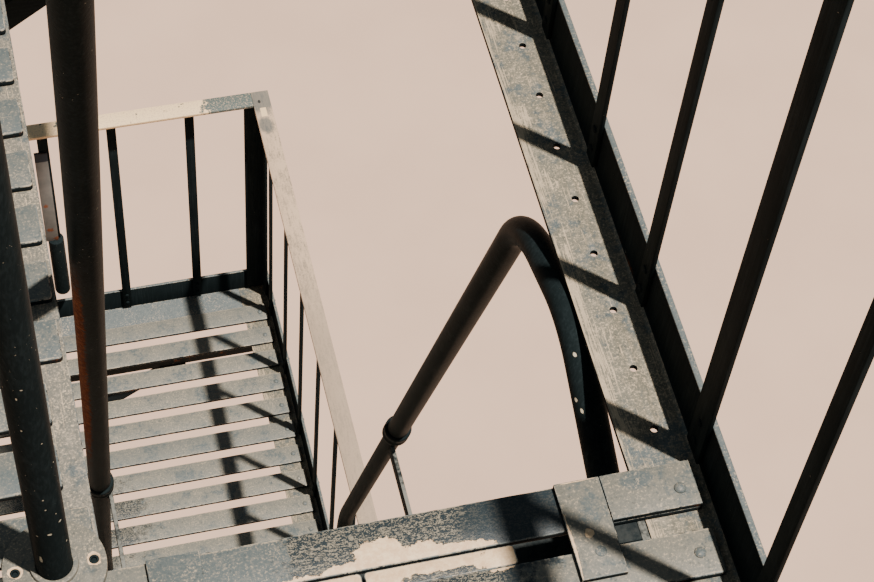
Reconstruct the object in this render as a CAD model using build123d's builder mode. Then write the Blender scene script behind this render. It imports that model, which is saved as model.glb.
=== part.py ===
import math
import os

from build123d import *

# Fire escape stair: two slatted landings one storey apart, joined by a steep flight.
# X runs out from the wall, Y along the wall, Z up. The origin is the middle of the
# back face of the first wall plate of the lower landing.

# Landings
storey_height = 3555.0
landing_length = 4100.0
landing_depth = 1424.0
wall_gap = 40.0

# Floor slats, laid across the landing
slat_width = 60.0
slat_thickness = 10.0
slat_pitch = 89.0
slat_end_gap = 7.0
slat_wall_gap = 5.0
slat_corner_radius = 5.0
slat_row_clearance = 5.0

# Plates that fill the gap between the first two slats at the head of the flight
filler_outer_inset = 259.0
filler_length = 180.0
filler_count = 2
filler_joint_gap = 3.0
filler_slat_gap = 3.0

# Stair opening, on the outer side of the landing
opening_start = 1344.0
opening_bays = 12
opening_inner_gap = 57.0
first_short_slat = 1
short_slats = 2
short_slat_cutback = 30.0
long_slat_cutback = 5.0

# Edge angle round the landing, with its upright leg on the outside
edge_leg_flat = 94.0
edge_leg_upright = 102.0
edge_thickness = 8.0
edge_root_radius = 7.0
edge_hole_gauge = 47.0
edge_hole_radius = 5.0

# Bearers under the slats, along the landing
bearer_flange = 65.0
bearer_web_depth = 57.0
bearer_thickness = 8.0
bearer_cope_gap = 3.0

# Wall brackets
bracket_inset = 180.0
header_gap = 1.0
landing_strip_offset = 118.0
bracket_thickness = 12.0
bracket_bar_depth = 100.0
bracket_nose = 60.0
strut_width = 50.0
strut_setback = 344.0
strut_drop = 900.0
plate_thickness = 12.0
plate_width = 150.0
plate_height = 220.0
plate_bolts_y = 90.0
plate_bolts_z = 160.0
plate_hole_radius = 9.0
plate_corner_radius = 8.0
foot_plate_height = 170.0
foot_plate_bolts_z = 110.0

# Guard round the landing
guard_height = 960.0
rail_width = 50.0
rail_thickness = 10.0
rail_overhang = 5.0
baluster_width = 27.0
baluster_thickness = 7.0
baluster_spacing = 225.5
post_width = 40.0
post_thickness = 7.0
corner_post_leg = 50.0
corner_post_face = 60.0
guard_post_from_opening = 15.0
lower_baluster_shift = 90.0
end_baluster_offset = 220.0
rail_plate_thickness = 8.0
rail_plate_width = 90.0
rail_plate_height = 60.0
rail_plate_corner_radius = 6.0
rail_plate_bolts = 60.0
rail_plate_hole_radius = 5.0

# Bar and pipe that hang from the end rail of the lower landing
hanger_inset = 649.5
hanger_bar_width = 30.0
hanger_bar_thickness = 8.0
hanger_bar_length = 518.0
hanger_plate_offset = 10.5
hanger_plate_width = 37.0
hanger_plate_drop = 93.0
hanger_pipe_radius = 23.5
hanger_pipe_length = 270.0

# Flight
risers = 14
flight_run = 1244.0
flight_setback = 10.0
flight_edge_gap = 95.0
flight_width = 576.0
stringer_width = 130.0
stringer_thickness = 10.0
tread_bar_width = 60.0
tread_bar_gap = 10.0
tread_thickness = 8.0
tread_end_gap = 1.0
tread_nosing_gap = 4.0
clip_leg = 40.0
clip_thickness = 5.0
clip_length = 108.0
clip_back_gap = 2.0
lug_leg = 60.0
lug_thickness = 8.0
lug_length = 70.0
lug_gap = 2.0
strap_thickness = 8.0
strap_length = 129.0
left_strap_outset = 10.0
left_strap_width = 62.0
right_strap_inset = 43.0
right_strap_width = 56.0
packer_gap = 1.0
packer_end_gap = 3.0

# Handrails of the flight, in pipe
rail_pipe_radius = 21.1
lower_pipe_radius = 18.5
coupling_radius = 27.0
coupling_length = 52.0
handrail_offset = 434.5
left_handrail_outset = 14.0
right_handrail_inset = 1.0
handrail_top_drop = 97.0
handrail_shoulder_reach = 248.5
handrail_shoulder_drop = 30.0
handrail_shoulder_bend = 150.0
handrail_end_slope = 0.484
handrail_top_bend = 180.0
handrail_foot_bend = 600.0
handrail_foot_reach = 1283.0
coupling_height = 2110.0
standoff_below_coupling = 92.0
standoff_depth = 40.0
standoff_thickness = 8.0
post_inset = 54.5
post_from_opening = 13.0
post_bend = 46.0
flange_radius = 59.5
flange_thickness = 10.0
flange_hub_radius = 27.5
flange_hub_height = 6.0
flange_screw_circle = 45.0
flange_screw_radius = 4.5
flange_screw_head_radius = 7.0
flange_screw_head_depth = 3.0
flange_bore_clearance = 0.3
flange_screw_count = 4
flange_first_screw_angle = 0.0
foot_base_width = 40.0
foot_base_length = 90.0
foot_base_thickness = 8.0

# Places worked out from the sizes above
near_y = -bracket_inset
far_y = near_y + landing_length
opening_near_y = near_y + opening_start
opening_far_y = opening_near_y + opening_bays * slat_pitch + slat_pitch - slat_width
bearer_top = -slat_thickness
bracket_top = bearer_top - edge_thickness
plate_middle = bracket_top - bracket_bar_depth / 2
lower_deck = -plate_middle
upper_deck = lower_deck + storey_height
inner_face_x = landing_depth - edge_thickness
flat_leg_x = landing_depth - edge_leg_flat
flight_right_x = landing_depth - flight_edge_gap
flight_left_x = flight_right_x - flight_width
opening_inner_x = flight_left_x - opening_inner_gap
slat_end_x = inner_face_x - baluster_thickness - slat_end_gap
slat_start_x = wall_gap + slat_wall_gap
rail_low = guard_height - rail_thickness
rise = storey_height / risers
slope = flight_run / storey_height
stringer_span = stringer_width * math.sqrt(1 + slope**2)
flight_top_y = opening_near_y - flight_setback
left_inner_x = flight_left_x + stringer_thickness
right_inner_x = flight_right_x - stringer_thickness
left_handrail_x = flight_left_x - left_handrail_outset
right_handrail_x = flight_right_x - right_handrail_inset
post_x = opening_inner_x - post_inset
standoff_height = coupling_height - standoff_below_coupling
hanger_x = landing_depth - hanger_inset
handrail_top_y = flight_top_y + handrail_offset
post_y = opening_near_y + post_from_opening
header_face_y = flight_top_y + slope * slat_thickness - stringer_span - header_gap
strip_y = opening_far_y + landing_strip_offset
bracket_rows = [0.0, header_face_y - bracket_thickness / 2, strip_y, far_y - bracket_inset]

os.makedirs("parts", exist_ok=True)


def save(piece, name):
    piece.part.label = name
    export_step(piece.part, f"parts/{name}.step")


def block(x_low, x_high, y_low, y_high, z_low, z_high, mode=Mode.ADD):
    with Locations(((x_low + x_high) / 2, (y_low + y_high) / 2, (z_low + z_high) / 2)):
        Box(x_high - x_low, y_high - y_low, z_high - z_low, mode=mode)


def nosing_y(z):
    return flight_top_y + (upper_deck - z) * slope


def handrail_y(z):
    return handrail_top_y + (upper_deck - z) * slope


def slat_rows(first_y, last_y):
    count = int((last_y - first_y - slat_width) // slat_pitch) + 1
    return [first_y + slat_pitch * row for row in range(count)]


def slat(x_low, x_high, y, deck):
    with BuildSketch(Plane.XY.offset(deck - slat_thickness)) as outline:
        with Locations(((x_low + x_high) / 2, y + slat_width / 2)):
            RectangleRounded(x_high - x_low, slat_width, slat_corner_radius)
    extrude(outline.sketch, amount=slat_thickness)


def build_slats(level, deck):
    first_y = opening_near_y - slat_width
    near_room = first_y - near_y - edge_thickness - slat_row_clearance
    near_rows = [first_y - slat_pitch * row for row in range(int(near_room // slat_pitch) + 1)]
    with BuildPart() as near_slats:
        for y in near_rows:
            slat(slat_start_x, slat_end_x, y, deck)
    save(near_slats, f"{level}_near_slats")

    with BuildPart() as passage_slats:
        for row in range(opening_bays):
            y = opening_near_y + (slat_pitch - slat_width) + slat_pitch * row
            is_short = first_short_slat <= row < first_short_slat + short_slats
            cutback = short_slat_cutback if is_short else long_slat_cutback
            slat(slat_start_x, opening_inner_x - cutback, y, deck)
    save(passage_slats, f"{level}_passage_slats")

    with BuildPart() as far_slats:
        for y in slat_rows(opening_far_y, far_y - edge_thickness - slat_row_clearance):
            slat(slat_start_x, slat_end_x, y, deck)
    save(far_slats, f"{level}_far_slats")


def build_gap_fillers():
    near_edge = opening_near_y - slat_pitch
    far_edge = opening_near_y - slat_width - filler_slat_gap
    with BuildPart() as gap_fillers:
        for step in range(filler_count):
            x_high = landing_depth - filler_outer_inset - step * (filler_length + filler_joint_gap)
            low = upper_deck - slat_thickness
            block(x_high - filler_length, x_high, near_edge, far_edge, low, upper_deck)
    save(gap_fillers, "upper_gap_fillers")


def edge_profile(flat_end, upright_face, flat_low):
    # flat leg from flat_end to the outer face, upright leg up the outer face
    side = 1 if upright_face > flat_end else -1
    inner = upright_face - side * edge_thickness
    return [
        (flat_end, flat_low),
        (upright_face, flat_low),
        (upright_face, flat_low + edge_leg_upright),
        (inner, flat_low + edge_leg_upright),
        (inner, flat_low + edge_thickness),
        (flat_end, flat_low + edge_thickness),
    ]


def build_edge(level, deck):
    low = deck + bracket_top
    leg_top = low + edge_thickness
    root_x = inner_face_x - edge_root_radius
    root_top = leg_top + edge_root_radius
    # the outer angle's two legs are kept apart, so that each is a plain bar to collide with
    with BuildPart() as outer_upright:
        block(inner_face_x, landing_depth, near_y, far_y, low, low + edge_leg_upright)
    save(outer_upright, f"{level}_outer_upright")

    with BuildPart() as outer_angle:
        block(flat_leg_x, inner_face_x, near_y, far_y, low, leg_top)
        block(root_x, inner_face_x, near_y, far_y, leg_top, root_top)
        with Locations((root_x, (near_y + far_y) / 2, root_top)):
            Cylinder(edge_root_radius, landing_length, rotation=(90, 0, 0), mode=Mode.SUBTRACT)
        row_y = opening_near_y + (slat_pitch - slat_width) + slat_width / 2
        for row in range(opening_bays):
            with Locations((landing_depth - edge_hole_gauge, row_y + slat_pitch * row, low)):
                Cylinder(edge_hole_radius, 3 * edge_thickness, mode=Mode.SUBTRACT)
    save(outer_angle, f"{level}_outer_angle")

    with BuildPart() as end_angles:
        for flat_end, face in ((near_y + edge_leg_flat, near_y), (far_y - edge_leg_flat, far_y)):
            with BuildSketch(Plane.YZ.offset(wall_gap)):
                with BuildLine():
                    Polyline(*edge_profile(flat_end, face, low), close=True)
                make_face()
            extrude(amount=inner_face_x - wall_gap)
        # coped to sit over the outer angle's flat leg and root
        block(flat_leg_x, landing_depth, near_y, far_y, low, leg_top, Mode.SUBTRACT)
        block(root_x, inner_face_x, near_y, far_y, low, root_top, Mode.SUBTRACT)
    save(end_angles, f"{level}_end_angles")


def web_spans():
    # the webs stop at each bracket bar
    half = bracket_thickness / 2 + bearer_cope_gap
    stops = [near_y + edge_leg_flat]
    for y in bracket_rows:
        stops += [y - half, y + half]
    stops.append(far_y - edge_leg_flat)
    return [(stops[i], stops[i + 1]) for i in range(0, len(stops), 2)]


def build_bearers(level, deck):
    top = deck + bearer_top
    low = top - bearer_thickness
    start = near_y + edge_leg_flat
    end = far_y - edge_leg_flat
    for name, x_low in (("wall_bearer", wall_gap), ("middle_bearer", opening_inner_x - bearer_flange)):
        with BuildPart() as bearer:
            block(x_low, x_low + bearer_flange, start, end, low, top)
        save(bearer, f"{level}_{name}")

    middle_web_x = opening_inner_x - bearer_flange / 2 - bearer_thickness / 2
    with BuildPart() as bearer_webs:
        for x_low in (wall_gap, middle_web_x):
            for y_low, y_high in web_spans():
                block(x_low, x_low + bearer_thickness, y_low, y_high, low - bearer_web_depth, low)
    save(bearer_webs, f"{level}_bearer_webs")


def build_brackets(level, deck):
    top = deck + bracket_top
    low = top - bracket_bar_depth
    foot = top - strut_drop
    with BuildPart() as bracket_bars:
        for y in bracket_rows:
            with BuildSketch(Plane.XZ.offset(-y - bracket_thickness / 2)):
                with BuildLine():
                    Polyline(
                        (plate_thickness, low),
                        (landing_depth - bracket_nose, low),
                        (landing_depth, low + bracket_nose),
                        (landing_depth, top),
                        (plate_thickness, top),
                        close=True,
                    )
                make_face()
            extrude(amount=bracket_thickness)
    save(bracket_bars, f"{level}_bracket_bars")

    strut_reach = landing_depth - strut_setback
    lean = math.atan2(strut_reach - plate_thickness, low - foot)
    half_flat = strut_width / 2 / math.cos(lean)
    half_foot = strut_width / 2 / math.sin(lean)
    with BuildPart() as bracket_struts:
        for y in bracket_rows:
            with BuildSketch(Plane.XZ.offset(-y - bracket_thickness / 2)):
                with BuildLine():
                    Polyline(
                        (strut_reach - half_flat, low),
                        (strut_reach + half_flat, low),
                        (plate_thickness, foot - half_foot),
                        (plate_thickness, foot + half_foot),
                        close=True,
                    )
                make_face()
            extrude(amount=bracket_thickness)
    save(bracket_struts, f"{level}_bracket_struts")

    with BuildPart() as wall_plates:
        for y in bracket_rows:
            for z, height, bolts_z in (
                (deck + plate_middle, plate_height, plate_bolts_z),
                (foot, foot_plate_height, foot_plate_bolts_z),
            ):
                with BuildSketch(Plane.YZ):
                    with Locations((y, z)):
                        RectangleRounded(plate_width, height, plate_corner_radius)
                        with GridLocations(plate_bolts_y, bolts_z, 2, 2):
                            Circle(plate_hole_radius, mode=Mode.SUBTRACT)
                extrude(amount=plate_thickness)
    save(wall_plates, f"{level}_wall_plates")


def build_guard(level, deck):
    outer_x = inner_face_x
    low = deck
    high = deck + rail_low
    wide_y = opening_near_y + guard_post_from_opening
    row_y = wide_y - (lower_baluster_shift if level == "lower" else 0)
    first = near_y + edge_thickness + corner_post_leg
    last = far_y - edge_thickness - corner_post_leg
    before = int((row_y - first - baluster_width / 2) // baluster_spacing)
    after = int((last - row_y - baluster_width / 2) // baluster_spacing)
    half = baluster_width / 2
    with BuildPart() as outer_balusters:
        for step in range(-before, after + 1):
            if step == 0:
                continue
            y = row_y + step * baluster_spacing
            block(outer_x - baluster_thickness, outer_x, y - half, y + half, low, high)
    save(outer_balusters, f"{level}_outer_balusters")

    inner_near = near_y + edge_thickness
    inner_far = far_y - edge_thickness
    first_x = outer_x - end_baluster_offset
    rows = int((first_x - wall_gap - baluster_width) // baluster_spacing) + 1
    with BuildPart() as end_balusters:
        for row in range(rows):
            x = first_x - row * baluster_spacing
            block(x - half, x + half, inner_near, inner_near + baluster_thickness, low, high)
            # the hanging bar takes the place of one baluster at the far end of the lower landing
            if level == "lower" and abs(x - hanger_x) < baluster_spacing / 2:
                continue
            block(x - half, x + half, inner_far - baluster_thickness, inner_far, low, high)
    save(end_balusters, f"{level}_end_balusters")

    half_post = post_width / 2
    with BuildPart() as guard_posts:
        block(outer_x - post_thickness, outer_x, wide_y - half_post, wide_y + half_post, low, high)
        for corner_y, side in ((inner_near, 1), (inner_far, -1)):
            leg_y = sorted((corner_y, corner_y + side * corner_post_leg))
            face_y = sorted((corner_y, corner_y + side * post_thickness))
            block(outer_x - post_thickness, outer_x, *leg_y, low, high)
            block(outer_x - corner_post_face, outer_x, *face_y, low, high)
    save(guard_posts, f"{level}_guard_posts")

    top = high + rail_thickness
    rail_outer_x = landing_depth + rail_overhang
    rail_inner_x = rail_outer_x - rail_width
    near_rail = near_y - rail_overhang
    far_rail = far_y + rail_overhang
    with BuildPart() as outer_rail:
        block(rail_inner_x, rail_outer_x, near_rail, far_rail, high, top)
    save(outer_rail, f"{level}_outer_rail")

    with BuildPart() as end_rails:
        for y_low in (near_rail, far_rail - rail_width):
            block(rail_plate_thickness, rail_inner_x, y_low, y_low + rail_width, high, top)
    save(end_rails, f"{level}_end_rails")

    plate_z = high + rail_thickness / 2
    with BuildPart() as rail_plates:
        for y_low in (near_rail, far_rail - rail_width):
            with BuildSketch(Plane.YZ):
                with Locations((y_low + rail_width / 2, plate_z)):
                    RectangleRounded(rail_plate_width, rail_plate_height, rail_plate_corner_radius)
                    with GridLocations(rail_plate_bolts, 0, 2, 1):
                        Circle(rail_plate_hole_radius, mode=Mode.SUBTRACT)
            extrude(amount=rail_plate_thickness)
    save(rail_plates, f"{level}_rail_plates")


def build_hanger():
    top = lower_deck + rail_low
    foot = top - hanger_bar_length
    outer_y = far_y - edge_thickness
    middle_y = outer_y - hanger_bar_thickness
    half = hanger_bar_width / 2
    with BuildPart() as hanger_bar:
        block(hanger_x - half, hanger_x + half, middle_y, outer_y, foot, top)
    save(hanger_bar, "lower_hanger_bar")

    plate_x = hanger_x - hanger_plate_offset
    half = hanger_plate_width / 2
    inner_y = middle_y - hanger_bar_thickness
    with BuildPart() as hanger_plate:
        block(plate_x - half, plate_x + half, inner_y, middle_y, foot, top - hanger_plate_drop)
    save(hanger_plate, "lower_hanger_plate")

    with BuildPart() as hanger_pipe:
        with BuildSketch(Plane.XY.offset(foot)):
            with Locations((hanger_x, middle_y)):
                Circle(hanger_pipe_radius)
        extrude(amount=-hanger_pipe_length)
    save(hanger_pipe, "lower_hanger_pipe")


def build_stringers():
    top = upper_deck + bearer_top
    for name, x_low in (("left_stringer", flight_left_x), ("right_stringer", right_inner_x)):
        with BuildPart() as stringer:
            with BuildSketch(Plane.YZ.offset(x_low)):
                with BuildLine():
                    Polyline(
                        (nosing_y(top) - stringer_span, top),
                        (nosing_y(top), top),
                        (nosing_y(lower_deck), lower_deck),
                        (nosing_y(lower_deck) - stringer_span, lower_deck),
                        close=True,
                    )
                make_face()
            extrude(amount=stringer_thickness)
        save(stringer, name)


def build_treads():
    back = 2 * tread_bar_width + tread_bar_gap + tread_nosing_gap
    with BuildPart() as treads:
        for step in range(1, risers):
            z = upper_deck - rise * step
            nose = nosing_y(z)
            for y_low in (nose - back, nose - back + tread_bar_width + tread_bar_gap):
                block(
                    left_inner_x + tread_end_gap,
                    right_inner_x - tread_end_gap,
                    y_low,
                    y_low + tread_bar_width,
                    z - tread_thickness,
                    z,
                )
    save(treads, "treads")

    with BuildPart() as tread_clips:
        for step in range(1, risers):
            top = upper_deck - rise * step - tread_thickness
            low_y = nosing_y(top) - stringer_span + clip_leg * slope + clip_back_gap
            for face_x, side in ((left_inner_x, 1), (right_inner_x, -1)):
                leg_x = sorted((face_x, face_x + side * clip_leg))
                web_x = sorted((face_x, face_x + side * clip_thickness))
                block(*leg_x, low_y, low_y + clip_length, top - clip_thickness, top)
                block(*web_x, low_y, low_y + clip_length, top - clip_leg, top)
    save(tread_clips, "tread_clips")


def build_flight_fixings():
    top = upper_deck + bearer_top
    with BuildPart() as head_lugs:
        low_y = header_face_y + lug_leg + lug_gap
        for face_x, side in ((left_inner_x, 1), (right_inner_x, -1)):
            leg_x = sorted((face_x, face_x + side * lug_leg))
            web_x = sorted((face_x, face_x + side * lug_thickness))
            block(*leg_x, low_y, low_y + lug_length, top - lug_thickness, top)
            block(*web_x, low_y, low_y + lug_length, top - lug_leg, top)
    save(head_lugs, "flight_head_lugs")

    bar_top = upper_deck + bracket_top
    with BuildPart() as header_lugs:
        for face_x, side in ((left_inner_x, 1), (right_inner_x, -1)):
            leg_x = sorted((face_x, face_x + side * lug_leg))
            web_x = sorted((face_x, face_x + side * lug_thickness))
            low = bar_top - lug_length
            block(*leg_x, header_face_y, header_face_y + lug_thickness, low, bar_top)
            block(*web_x, header_face_y, header_face_y + lug_leg, low, bar_top)
    save(header_lugs, "flight_header_lugs")

    with BuildPart() as foot_lugs:
        low = lower_deck
        low_y = nosing_y(low) - stringer_span / 2 - lug_length / 2
        for face_x, side in ((left_inner_x, 1), (right_inner_x, -1)):
            leg_x = sorted((face_x, face_x + side * lug_leg))
            web_x = sorted((face_x, face_x + side * lug_thickness))
            block(*leg_x, low_y, low_y + lug_length, low, low + lug_thickness)
            block(*web_x, low_y, low_y + lug_length, low, low + lug_leg)
    save(foot_lugs, "flight_foot_lugs")

    with BuildPart() as strap_plates:
        end_y = opening_near_y
        top = upper_deck + strap_thickness
        left_low = flight_left_x - left_strap_outset
        right_high = flight_right_x - right_strap_inset
        right_low = right_high - right_strap_width
        packer_low = right_high + packer_gap
        packer_high = slat_end_x - packer_end_gap
        block(left_low, left_low + left_strap_width, end_y - strap_length, end_y, upper_deck, top)
        block(right_low, right_high, end_y - strap_length, end_y, upper_deck, top)
        block(packer_low, packer_high, end_y - slat_width, end_y, upper_deck, top)
    save(strap_plates, "flight_strap_plates")


def swept_pipe(points, bends, radius, mode=Mode.ADD):
    with BuildLine() as route:
        if bends:
            FilletPolyline(*points, radius=bends)
        else:
            Line(*points)
    with BuildSketch(Plane(origin=route.line @ 0, z_dir=route.line % 0)) as section:
        Circle(radius)
    sweep(section.sketch, path=route.line, mode=mode)


def build_handrails():
    foot_y = opening_near_y + handrail_foot_reach
    bend_z = upper_deck - (foot_y - handrail_top_y) / slope
    joint_z = lower_deck + coupling_height
    lean = math.sqrt(1 + slope**2)
    joint_high = joint_z + coupling_length / 2 / lean
    joint_low = joint_z - coupling_length / 2 / lean

    top_z = upper_deck - handrail_top_drop
    shoulder_y = opening_near_y + handrail_shoulder_reach
    shoulder_z = upper_deck - handrail_shoulder_drop
    end_y = header_face_y + stringer_span
    end_z = shoulder_z - (shoulder_y - end_y) * handrail_end_slope
    with BuildPart() as right_rail:
        swept_pipe(
            [
                (right_handrail_x, end_y, end_z),
                (right_handrail_x, shoulder_y, shoulder_z),
                (right_handrail_x, handrail_y(top_z), top_z),
                (right_handrail_x, handrail_y(joint_high), joint_high),
            ],
            [handrail_shoulder_bend, handrail_top_bend],
            rail_pipe_radius,
        )
        # the pipe's end is cut to the slope of the stringer that it is welded to
        with BuildSketch(Plane.YZ.offset(right_handrail_x - 2 * rail_pipe_radius)):
            with BuildLine():
                Polyline(
                    (nosing_y(upper_deck), upper_deck),
                    (nosing_y(joint_high), joint_high),
                    (nosing_y(upper_deck) - storey_height, joint_high),
                    (nosing_y(upper_deck) - storey_height, upper_deck),
                    close=True,
                )
            make_face()
        extrude(amount=4 * rail_pipe_radius, mode=Mode.SUBTRACT)
    save(right_rail, "right_handrail")

    post_top = upper_deck + (handrail_top_y - post_y) / slope
    post_foot = upper_deck + flange_thickness
    with BuildPart() as left_rail:
        swept_pipe(
            [
                (post_x, post_y, post_foot),
                (post_x, post_y, post_top),
                (left_handrail_x, post_y, post_top),
                (left_handrail_x, handrail_y(joint_high), joint_high),
            ],
            post_bend,
            rail_pipe_radius,
        )
    save(left_rail, "left_handrail_and_post")

    with BuildPart() as couplings:
        for x in (left_handrail_x, right_handrail_x):
            swept_pipe(
                [(x, handrail_y(joint_high), joint_high), (x, handrail_y(joint_low), joint_low)],
                None,
                coupling_radius,
            )
    save(couplings, "handrail_couplings")

    foot_stop = lower_deck + foot_base_thickness
    with BuildPart() as lower_rails:
        for x in (left_handrail_x, right_handrail_x):
            swept_pipe(
                [(x, handrail_y(joint_low), joint_low), (x, foot_y, bend_z), (x, foot_y, foot_stop)],
                handrail_foot_bend,
                lower_pipe_radius,
            )
    save(lower_rails, "lower_handrails")

    with BuildPart() as foot_bases:
        for x in (left_handrail_x, right_handrail_x):
            half_x = foot_base_width / 2
            half_y = foot_base_length / 2
            block(x - half_x, x + half_x, foot_y - half_y, foot_y + half_y, lower_deck, foot_stop)
    save(foot_bases, "handrail_foot_plates")

    with BuildPart() as flange:
        with BuildSketch(Plane.XY.offset(upper_deck)):
            with Locations((post_x, post_y)):
                Circle(flange_radius)
        extrude(amount=flange_thickness)
        with BuildSketch(Plane.XY.offset(upper_deck + flange_thickness)):
            with Locations((post_x, post_y)):
                Circle(flange_hub_radius)
                Circle(rail_pipe_radius + flange_bore_clearance, mode=Mode.SUBTRACT)
        extrude(amount=flange_hub_height)
        with Locations((post_x, post_y, upper_deck + flange_thickness)):
            with PolarLocations(flange_screw_circle, flange_screw_count, flange_first_screw_angle):
                Hole(flange_screw_radius, flange_thickness)
                with Locations((0, 0, -flange_screw_head_depth / 2)):
                    Cone(
                        flange_screw_radius,
                        flange_screw_head_radius,
                        flange_screw_head_depth,
                        mode=Mode.SUBTRACT,
                    )
    save(flange, "post_floor_flange")

    z_low = lower_deck + standoff_height - standoff_depth / 2
    z_high = z_low + standoff_depth
    with BuildPart() as standoffs:
        for rail_x, bar_x in ((left_handrail_x, flight_left_x), (right_handrail_x, right_inner_x)):
            middle_x = bar_x + stringer_thickness / 2
            with BuildSketch(Plane.YZ.offset(middle_x - standoff_thickness / 2)):
                with BuildLine():
                    Polyline(
                        (nosing_y(z_low), z_low),
                        (handrail_y(z_low), z_low),
                        (handrail_y(z_high), z_high),
                        (nosing_y(z_high), z_high),
                        close=True,
                    )
                make_face()
            extrude(amount=standoff_thickness)
            swept_pipe(
                [(rail_x, handrail_y(joint_low), joint_low), (rail_x, foot_y, bend_z)],
                None,
                lower_pipe_radius,
                Mode.SUBTRACT,
            )
    save(standoffs, "handrail_standoffs")


for level_name, deck_height in (("lower", lower_deck), ("upper", upper_deck)):
    build_slats(level_name, deck_height)
    build_edge(level_name, deck_height)
    build_bearers(level_name, deck_height)
    build_brackets(level_name, deck_height)
    build_guard(level_name, deck_height)

build_gap_fillers()
build_hanger()
build_stringers()
build_treads()
build_flight_fixings()
build_handrails()
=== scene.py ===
import math

import bmesh
import bpy
from mathutils import Matrix, Vector


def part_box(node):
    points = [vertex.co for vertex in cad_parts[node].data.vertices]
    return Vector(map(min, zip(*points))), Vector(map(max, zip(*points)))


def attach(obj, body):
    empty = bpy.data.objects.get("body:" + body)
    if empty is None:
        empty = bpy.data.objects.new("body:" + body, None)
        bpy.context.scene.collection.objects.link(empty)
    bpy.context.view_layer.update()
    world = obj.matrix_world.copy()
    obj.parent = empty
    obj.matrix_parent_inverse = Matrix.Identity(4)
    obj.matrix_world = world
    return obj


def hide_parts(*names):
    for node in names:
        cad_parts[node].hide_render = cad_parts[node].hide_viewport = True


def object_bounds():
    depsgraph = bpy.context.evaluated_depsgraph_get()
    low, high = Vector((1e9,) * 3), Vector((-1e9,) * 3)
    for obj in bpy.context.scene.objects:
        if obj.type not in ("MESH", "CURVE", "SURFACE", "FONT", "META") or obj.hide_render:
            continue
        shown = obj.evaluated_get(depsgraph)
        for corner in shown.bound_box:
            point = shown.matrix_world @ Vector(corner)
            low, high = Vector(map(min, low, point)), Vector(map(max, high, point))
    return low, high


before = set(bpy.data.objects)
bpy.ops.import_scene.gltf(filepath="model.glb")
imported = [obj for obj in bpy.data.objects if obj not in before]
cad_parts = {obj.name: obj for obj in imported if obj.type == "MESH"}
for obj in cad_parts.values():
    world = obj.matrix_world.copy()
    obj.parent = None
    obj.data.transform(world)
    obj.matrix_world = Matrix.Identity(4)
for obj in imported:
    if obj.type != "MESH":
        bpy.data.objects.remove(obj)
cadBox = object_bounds()
print("stage: frame loaded")


# shader maths: a wire is one output of a node, and expressions on wires add Math nodes

class Wire:
    def __init__(self, tree, socket=None):
        self.tree = tree
        self.socket = socket

    def add(self, kind, settings=None, sockets=None, output=0):
        node = self.tree.nodes.new("ShaderNode" + kind)
        for name, value in (settings or {}).items():
            setattr(node, name, value)
        for name, value in (sockets or {}).items():
            if isinstance(value, Wire):
                self.tree.links.new(value.socket, node.inputs[name])
            else:
                node.inputs[name].default_value = value
        return Wire(self.tree, node.outputs[output] if node.outputs else None)

    def maths(self, operation, *others):
        return self.add("Math", {"operation": operation}, dict(enumerate((self, *others))))

    def vectorMaths(self, operation, *others, output=0):
        sockets = dict(enumerate((self, *others)))
        return self.add("VectorMath", {"operation": operation}, sockets, output=output)

    def __add__(self, other):
        return self.maths("ADD", other)

    def __sub__(self, other):
        return self.maths("SUBTRACT", other)

    def __rsub__(self, other):
        return self.add("Math", {"operation": "SUBTRACT"}, {0: other, 1: self})

    def __mul__(self, other):
        return self.maths("MULTIPLY", other)

    def __truediv__(self, other):
        return self.maths("DIVIDE", other)

    __radd__ = __add__
    __rmul__ = __mul__


def startMaterial(name):
    material = bpy.data.materials.new(name)
    material.use_nodes = True
    material.node_tree.nodes.clear()
    return material, Wire(material.node_tree).add("TexCoord", output="Object")


def stretched(place, along, times):  # pattern drawn out along X, Y or Z
    scale = [1.0, 1.0, 1.0]
    scale["XYZ".index(along)] = 1 / times
    return place.add("Mapping", {}, {"Vector": place, "Scale": scale})


def leaning(place, degrees):  # pattern turned round X, for what slopes with the flight
    return place.add("Mapping", {}, {"Vector": place, "Rotation": (math.radians(degrees), 0, 0)})


def grain(place, scale, detail, rough):
    sockets = {"Vector": place, "Scale": scale, "Detail": detail, "Roughness": rough}
    return place.add("TexNoise", {}, sockets)


def grains(place, look, *names):
    return [grain(place, *look[name]) for name in names]


def rise(value, low, high):  # 0 at low, 1 at high, smooth between; high may be the smaller one
    sockets = {"Value": value, "From Min": low, "From Max": high}
    return value.add("MapRange", {"interpolation_type": "SMOOTHSTEP"}, sockets)


def shifted(limits, change):
    return limits[0] + change, limits[1] + change


def blendTone(share, under, over):  # each tone is a wire, or its red, green and blue
    under, over = (look if isinstance(look, Wire) else (*look, 1.0) for look in (under, over))
    return share.add("Mix", {"data_type": "RGBA"}, {0: share, 6: under, 7: over}, output=2)


def axisOf(place, axis):
    return place.add("SeparateXYZ", {}, {0: place}, output=axis)


def fromSpot(place, centre, size):  # the place seen from a spot's centre, in half sizes of the spot
    return place.vectorMaths("SUBTRACT", centre).vectorMaths("DIVIDE", size)


def ovalSpots(place, spots, ragged, softness=0.05):
    # 1 inside any of the spots (centre, half sizes); the ragged wire pushes their borders about
    result = None
    for centre, size in spots:
        away = fromSpot(place, centre, size).vectorMaths("LENGTH", output="Value")
        mask = rise(away + ragged, 1 + softness, 1 - softness)
        result = mask if result is None else result.maths("MAXIMUM", mask)
    return result


def squareSpot(place, centre, size, ragged, softness=0.05):
    away = fromSpot(place, centre, size).vectorMaths("ABSOLUTE")
    farthest = axisOf(away, 0).maths("MAXIMUM", axisOf(away, 1))
    return rise(farthest + ragged, 1 + softness, 1 - softness)


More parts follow.
